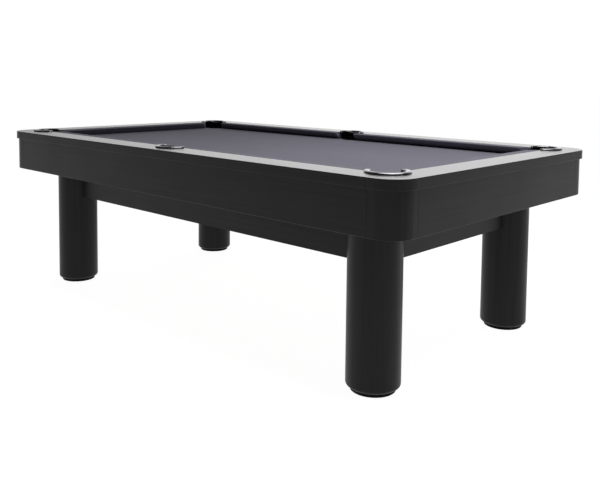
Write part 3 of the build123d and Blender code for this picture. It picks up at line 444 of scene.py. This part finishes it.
def cover_grid(first_end, last_end):
    """The cover's section is swept between two ends whose place depends on the distance inward. At
    each end the section turns in through a quarter circle and closes on the cushion's core."""
    turn = np.linspace(0.0, math.pi / 2, 5)
    size = np.abs(COVER - COVER_CORE).max()
    inset = np.concatenate([END_ROUND * (1 - np.cos(turn)) / size, np.linspace(0.25, 1.0, 4)])
    short = np.concatenate([END_ROUND * (1 - np.sin(turn)), np.zeros(4)])
    rows = []
    for shrink, back in zip(inset[::-1], short[::-1]):
        section = COVER + (COVER_CORE - COVER) * shrink
        rows.append((first_end(section[:, 0]) + back, section))
    for share in np.linspace(0.0, 1.0, COVER_SPANS + 1)[1:-1]:
        low, high = first_end(COVER[:, 0]) + END_ROUND, last_end(COVER[:, 0]) - END_ROUND
        rows.append((low + (high - low) * share, COVER))
    for shrink, back in zip(inset, short):
        section = COVER + (COVER_CORE - COVER) * shrink
        rows.append((last_end(section[:, 0]) - back, section))
    return np.array([np.column_stack([along, section]) for along, section in rows])


def place_on_edge(grid, edge):
    """From (along, inward, height) on one edge of the table to the table's own axes, faces outward."""
    along, inward, height = np.moveaxis(grid, -1, 0)
    if edge in ("front", "back"):
        side = -1 if edge == "front" else 1
        placed = np.stack([along, side * (HALF_WIDTH - inward), height], axis=-1)
    else:
        side = -1 if edge == "left" else 1
        placed = np.stack([side * (HALF_LENGTH - inward), along, height], axis=-1)
    return placed if edge in ("back", "left") else placed[::-1]


COVERS = {}
for edge in ("front", "back"):
    COVERS[f"rail_cloth_{edge}_right"] = (edge, side_end, lambda v: corner_end("side", v))
    COVERS[f"rail_cloth_{edge}_left"] = (
        edge, lambda v: -corner_end("side", v), lambda v: -side_end(v))
for edge in ("left", "right"):
    COVERS[f"rail_cloth_{edge}"] = (
        edge, lambda v: -corner_end("end", v), lambda v: corner_end("end", v))
for name, (edge, first_end, last_end) in COVERS.items():
    cover = grid_mesh(name, place_on_edge(cover_grid(first_end, last_end), edge), weld=True)
    thicken(cover, CLOTH_THICKNESS)
    fit(cover, cloth, "rail_felt", "rail_cloth")
    length = float(last_end(NOSE) - first_end(NOSE))

gum_rubber = fine_black("gum_rubber", (0.16, 0.07, 0.035), 0.72, 500.0, 0.0002)
hard_rubber = fine_black("hard_rubber", (0.010, 0.010, 0.011), 0.66, 500.0, 0.0002)
dress(gum_rubber, "side_cushions", "end_cushions")
dress(hard_rubber, "cushion_facings")
dress(long_wood, "feather_strips")

# ---- pockets ----------------------------------------------------------------------------------------
# Six castings of polished dark nickel: a crowned horseshoe on the rail with rounded ends, and a skirt
# that lines the bore. Screws come up into them from under the rail. Below each hangs a moulded cup.
nickel = Finish("dark_nickel")
polish = nickel.noise(nickel.place((1.0, 1.0, 6.0)), 240.0, 3.0, 0.6)
handling = nickel.noise(nickel.place(), 28.0, 3.0)
nickel.set(
    Base_Color=nickel.mix(handling, (0.24, 0.24, 0.255), (0.33, 0.33, 0.345)), Metallic=1.0,
    Roughness=(polish - 0.5) * 0.05 + (handling - 0.5) * 0.08 + 0.13,
    Normal=nickel.bump(polish, 0.00004, 0.25))
liner_plastic = fine_black("liner_plastic", (0.0035, 0.0035, 0.0038), 0.50, 800.0, 0.0002)

SKIRT_WALL = 0.0040
CASTING_RISE = 0.0078       # how far the crown stands above the rail
TIP_RISE = 0.0018           # and the horseshoe's tips
CORNER_FLANGE, SIDE_FLANGE = 0.0815, 0.0740     # radii of the crowns' outer edges
CORNER_HALF, SIDE_HALF = math.radians(122.0), math.radians(104.0)   # half of each horseshoe's turn


def casting_grid(bore, flange, half_angle, columns=129):
    """A section turned about the pocket's axis. From the skirt's inner foot it runs up the bore, over
    a crown that is half an ellipse, and back under the flange to the skirt's outer foot. Towards the
    ends the flange narrows as sqrt(1 - s^2), so that the horseshoe's tips are round in plan."""
    angle = np.linspace(-half_angle, half_angle, columns)
    tip = (flange - bore) / flange * 1.15
    s = np.clip((np.abs(angle) - (half_angle - tip)) / tip, 0.0, 1.0)
    share = np.sqrt(np.clip(1.0 - s ** 2, 0.0, None))
    least = bore + SKIRT_WALL + 0.0006
    outer = least + (flange - least) * share
    rise = TIP_RISE + (CASTING_RISE - TIP_RISE) * share ** 0.6
    crown = np.linspace(0.0, math.pi, 19)
    middle, reach = (bore + outer) / 2, (outer - bore) / 2
    lip = 0.0012
    radius = middle[:, None] - reach[:, None] * np.cos(crown)
    height = RAIL_TOP + lip + (rise - lip)[:, None] * np.sin(crown) ** 0.7
    foot = np.full((columns, 1), RAIL_BOTTOM + 0.0004)
    edge = np.full((columns, 1), RAIL_TOP + 0.0001)
    inner = np.full((columns, 1), bore)
    skirt = np.full((columns, 1), bore + SKIRT_WALL)
    radius = np.concatenate([inner, inner, radius, outer[:, None], skirt, skirt, inner], axis=1)
    shoulder = np.full((columns, 1), RAIL_TOP - 0.001)
    height = np.concatenate([foot, shoulder, height, edge, edge, foot, foot], axis=1)
    ring = np.stack([radius * np.cos(angle)[:, None], radius * np.sin(angle)[:, None], height], axis=-1)
    # each end closes on the middle of its section
    ends = []
    for k in (0, -1):
        closed = ring[k].copy()
        closed[:, :2] = bore + SKIRT_WALL / 2
        closed[:, :2] *= (math.cos(angle[k]), math.sin(angle[k]))
        ends.append(closed)
    return np.concatenate([ends[0][None], ring, ends[1][None]])


def turned(grid, x, y, angle):
    """A plan rotation about the upright axis, then a move to the pocket."""
    c, s = math.cos(angle), math.sin(angle)
    placed = grid.copy()
    placed[..., 0] = x + c * grid[..., 0] - s * grid[..., 1]
    placed[..., 1] = y + s * grid[..., 0] + c * grid[..., 1]
    return placed


POCKETS = {}
for corner, (sx, sy) in CORNERS.items():
    outward = math.atan2(sy, sx)
    POCKETS[f"{corner}_corner"] = (sx * CORNER_X, sy * CORNER_Y, outward, CORNER_FLANGE, CORNER_HALF)
for side, sy in (("front", -1), ("back", 1)):
    POCKETS[f"{side}_side"] = (0.0, sy * SIDE_Y, sy * math.pi / 2, SIDE_FLANGE, SIDE_HALF)
for pocket, (x, y, outward, flange, half_angle) in POCKETS.items():
    bore = CORNER_BORE if pocket.endswith("corner") else SIDE_BORE
    grid = casting_grid(bore, flange, half_angle)
    casting = grid_mesh(f"casting_{pocket}", turned(grid, x, y, outward), weld=True)
    fit(casting, nickel, "casting_nickel", f"pocket_casting_{pocket}")
    dress(liner_plastic, f"pocket_liner_{pocket}")
dress(zinc, "casting_screws", "wood_screws")

# ---- apron ------------------------------------------------------------------------------------------
# Charcoal boards under the rails, with bent corner pieces between them, screwed to splice blocks
# behind the seams and hung from the rails by steel angles.
dress(long_wood, "side_apron_front", "side_apron_back")
dress(cross_wood, "end_aprons")
dress(upright_wood, "apron_corners")
dress(pine, "splice_blocks")
dress(zinc, "apron_brackets")

# ---- the studio -------------------------------------------------------------------------------------
# A wide pale floor that glows a little, a bright sweep behind the table to the right, a dim room in
# front, and one large soft box overhead.
FLOOR_REACH = 40.0
floor_corners = [(sx * FLOOR_REACH, sy * FLOOR_REACH, 0.0) for sx, sy in CORNERS.values()]
floor_mesh = bpy.data.meshes.new("floor")
floor_mesh.from_pydata(floor_corners, [], [(0, 1, 2, 3)])
floor = bpy.data.objects.new("floor", floor_mesh)
bpy.context.scene.collection.objects.link(floor)
floor_paint = Finish("floor_paint")
floor_paint.set(
    Base_Color=(0.20, 0.20, 0.20), Roughness=0.9, Specular_IOR_Level=0.0,
    Emission_Color=(1.0, 1.0, 1.0), Emission_Strength=0.97)
floor_mesh.materials.append(floor_paint.material)

world = bpy.data.worlds.new("studio")
bpy.context.scene.world = world
sky = Finish("sky", world)
SWEEP_AZIMUTH, SWEEP_HEIGHT = math.radians(122.0), math.radians(9.0)
SWEEP_FOCUS, SWEEP_GLOW = 4.0, 1.15
sweep = (
    math.cos(SWEEP_AZIMUTH) * math.cos(SWEEP_HEIGHT),
    math.sin(SWEEP_AZIMUTH) * math.cos(SWEEP_HEIGHT),
    math.sin(SWEEP_HEIGHT))
way = sky.node("ShaderNodeTexCoord", output="Generated")
facing = sky.node(
    "ShaderNodeVectorMath", {"operation": "DOT_PRODUCT"}, {0: way, 1: sweep}, output="Value")
glow = facing.maths("MAXIMUM", facing, 0.0) ** SWEEP_FOCUS * SWEEP_GLOW
seen = sky.node("ShaderNodeLightPath", output="Is Camera Ray")
SEEN_WHITE, ROOM = 1.05, 0.05
sky.set(Color=(1.0, 1.0, 1.0), Strength=seen * SEEN_WHITE + (1.0 - seen) * (glow + ROOM))

box_light = bpy.data.lights.new("overhead", "AREA")
box_light.shape = "RECTANGLE"
box_light.size = box_light.size_y = 2.4
box_light.energy = 72.0
overhead = bpy.data.objects.new("overhead", box_light)
overhead.location = (1.45, 0.0, 3.1)
bpy.context.scene.collection.objects.link(overhead)

# The camera stands off the near corner, a little above the rails.
YAW, PITCH, ROLL = math.radians(43.208), math.radians(4.068), math.radians(0.608)
FOCAL, SHIFT = 735.24, -0.19
CAMERA_PLACE = (2.6052, -2.5734, 1.1389)
back = Vector((math.sin(YAW) * math.cos(PITCH), -math.cos(YAW) * math.cos(PITCH), math.sin(PITCH)))
right = (-back).cross(Vector((0, 0, 1))).normalized()
up = right.cross(-back)
across = right * math.cos(ROLL) + up * math.sin(ROLL)
upward = up * math.cos(ROLL) - right * math.sin(ROLL)
lens = bpy.data.cameras.new("camera")
SENSOR, IMAGE_WIDTH = 36.0, 600
lens.sensor_width = SENSOR
lens.lens = FOCAL / IMAGE_WIDTH * SENSOR
lens.shift_y = SHIFT
camera = bpy.data.objects.new("camera", lens)
camera.matrix_world = Matrix((
    (across.x, upward.x, back.x, CAMERA_PLACE[0]),
    (across.y, upward.y, back.y, CAMERA_PLACE[1]),
    (across.z, upward.z, back.z, CAMERA_PLACE[2]),
    (0, 0, 0, 1)))
bpy.context.scene.collection.objects.link(camera)
bpy.context.scene.camera = camera
bpy.context.scene.view_settings.view_transform = "Standard"
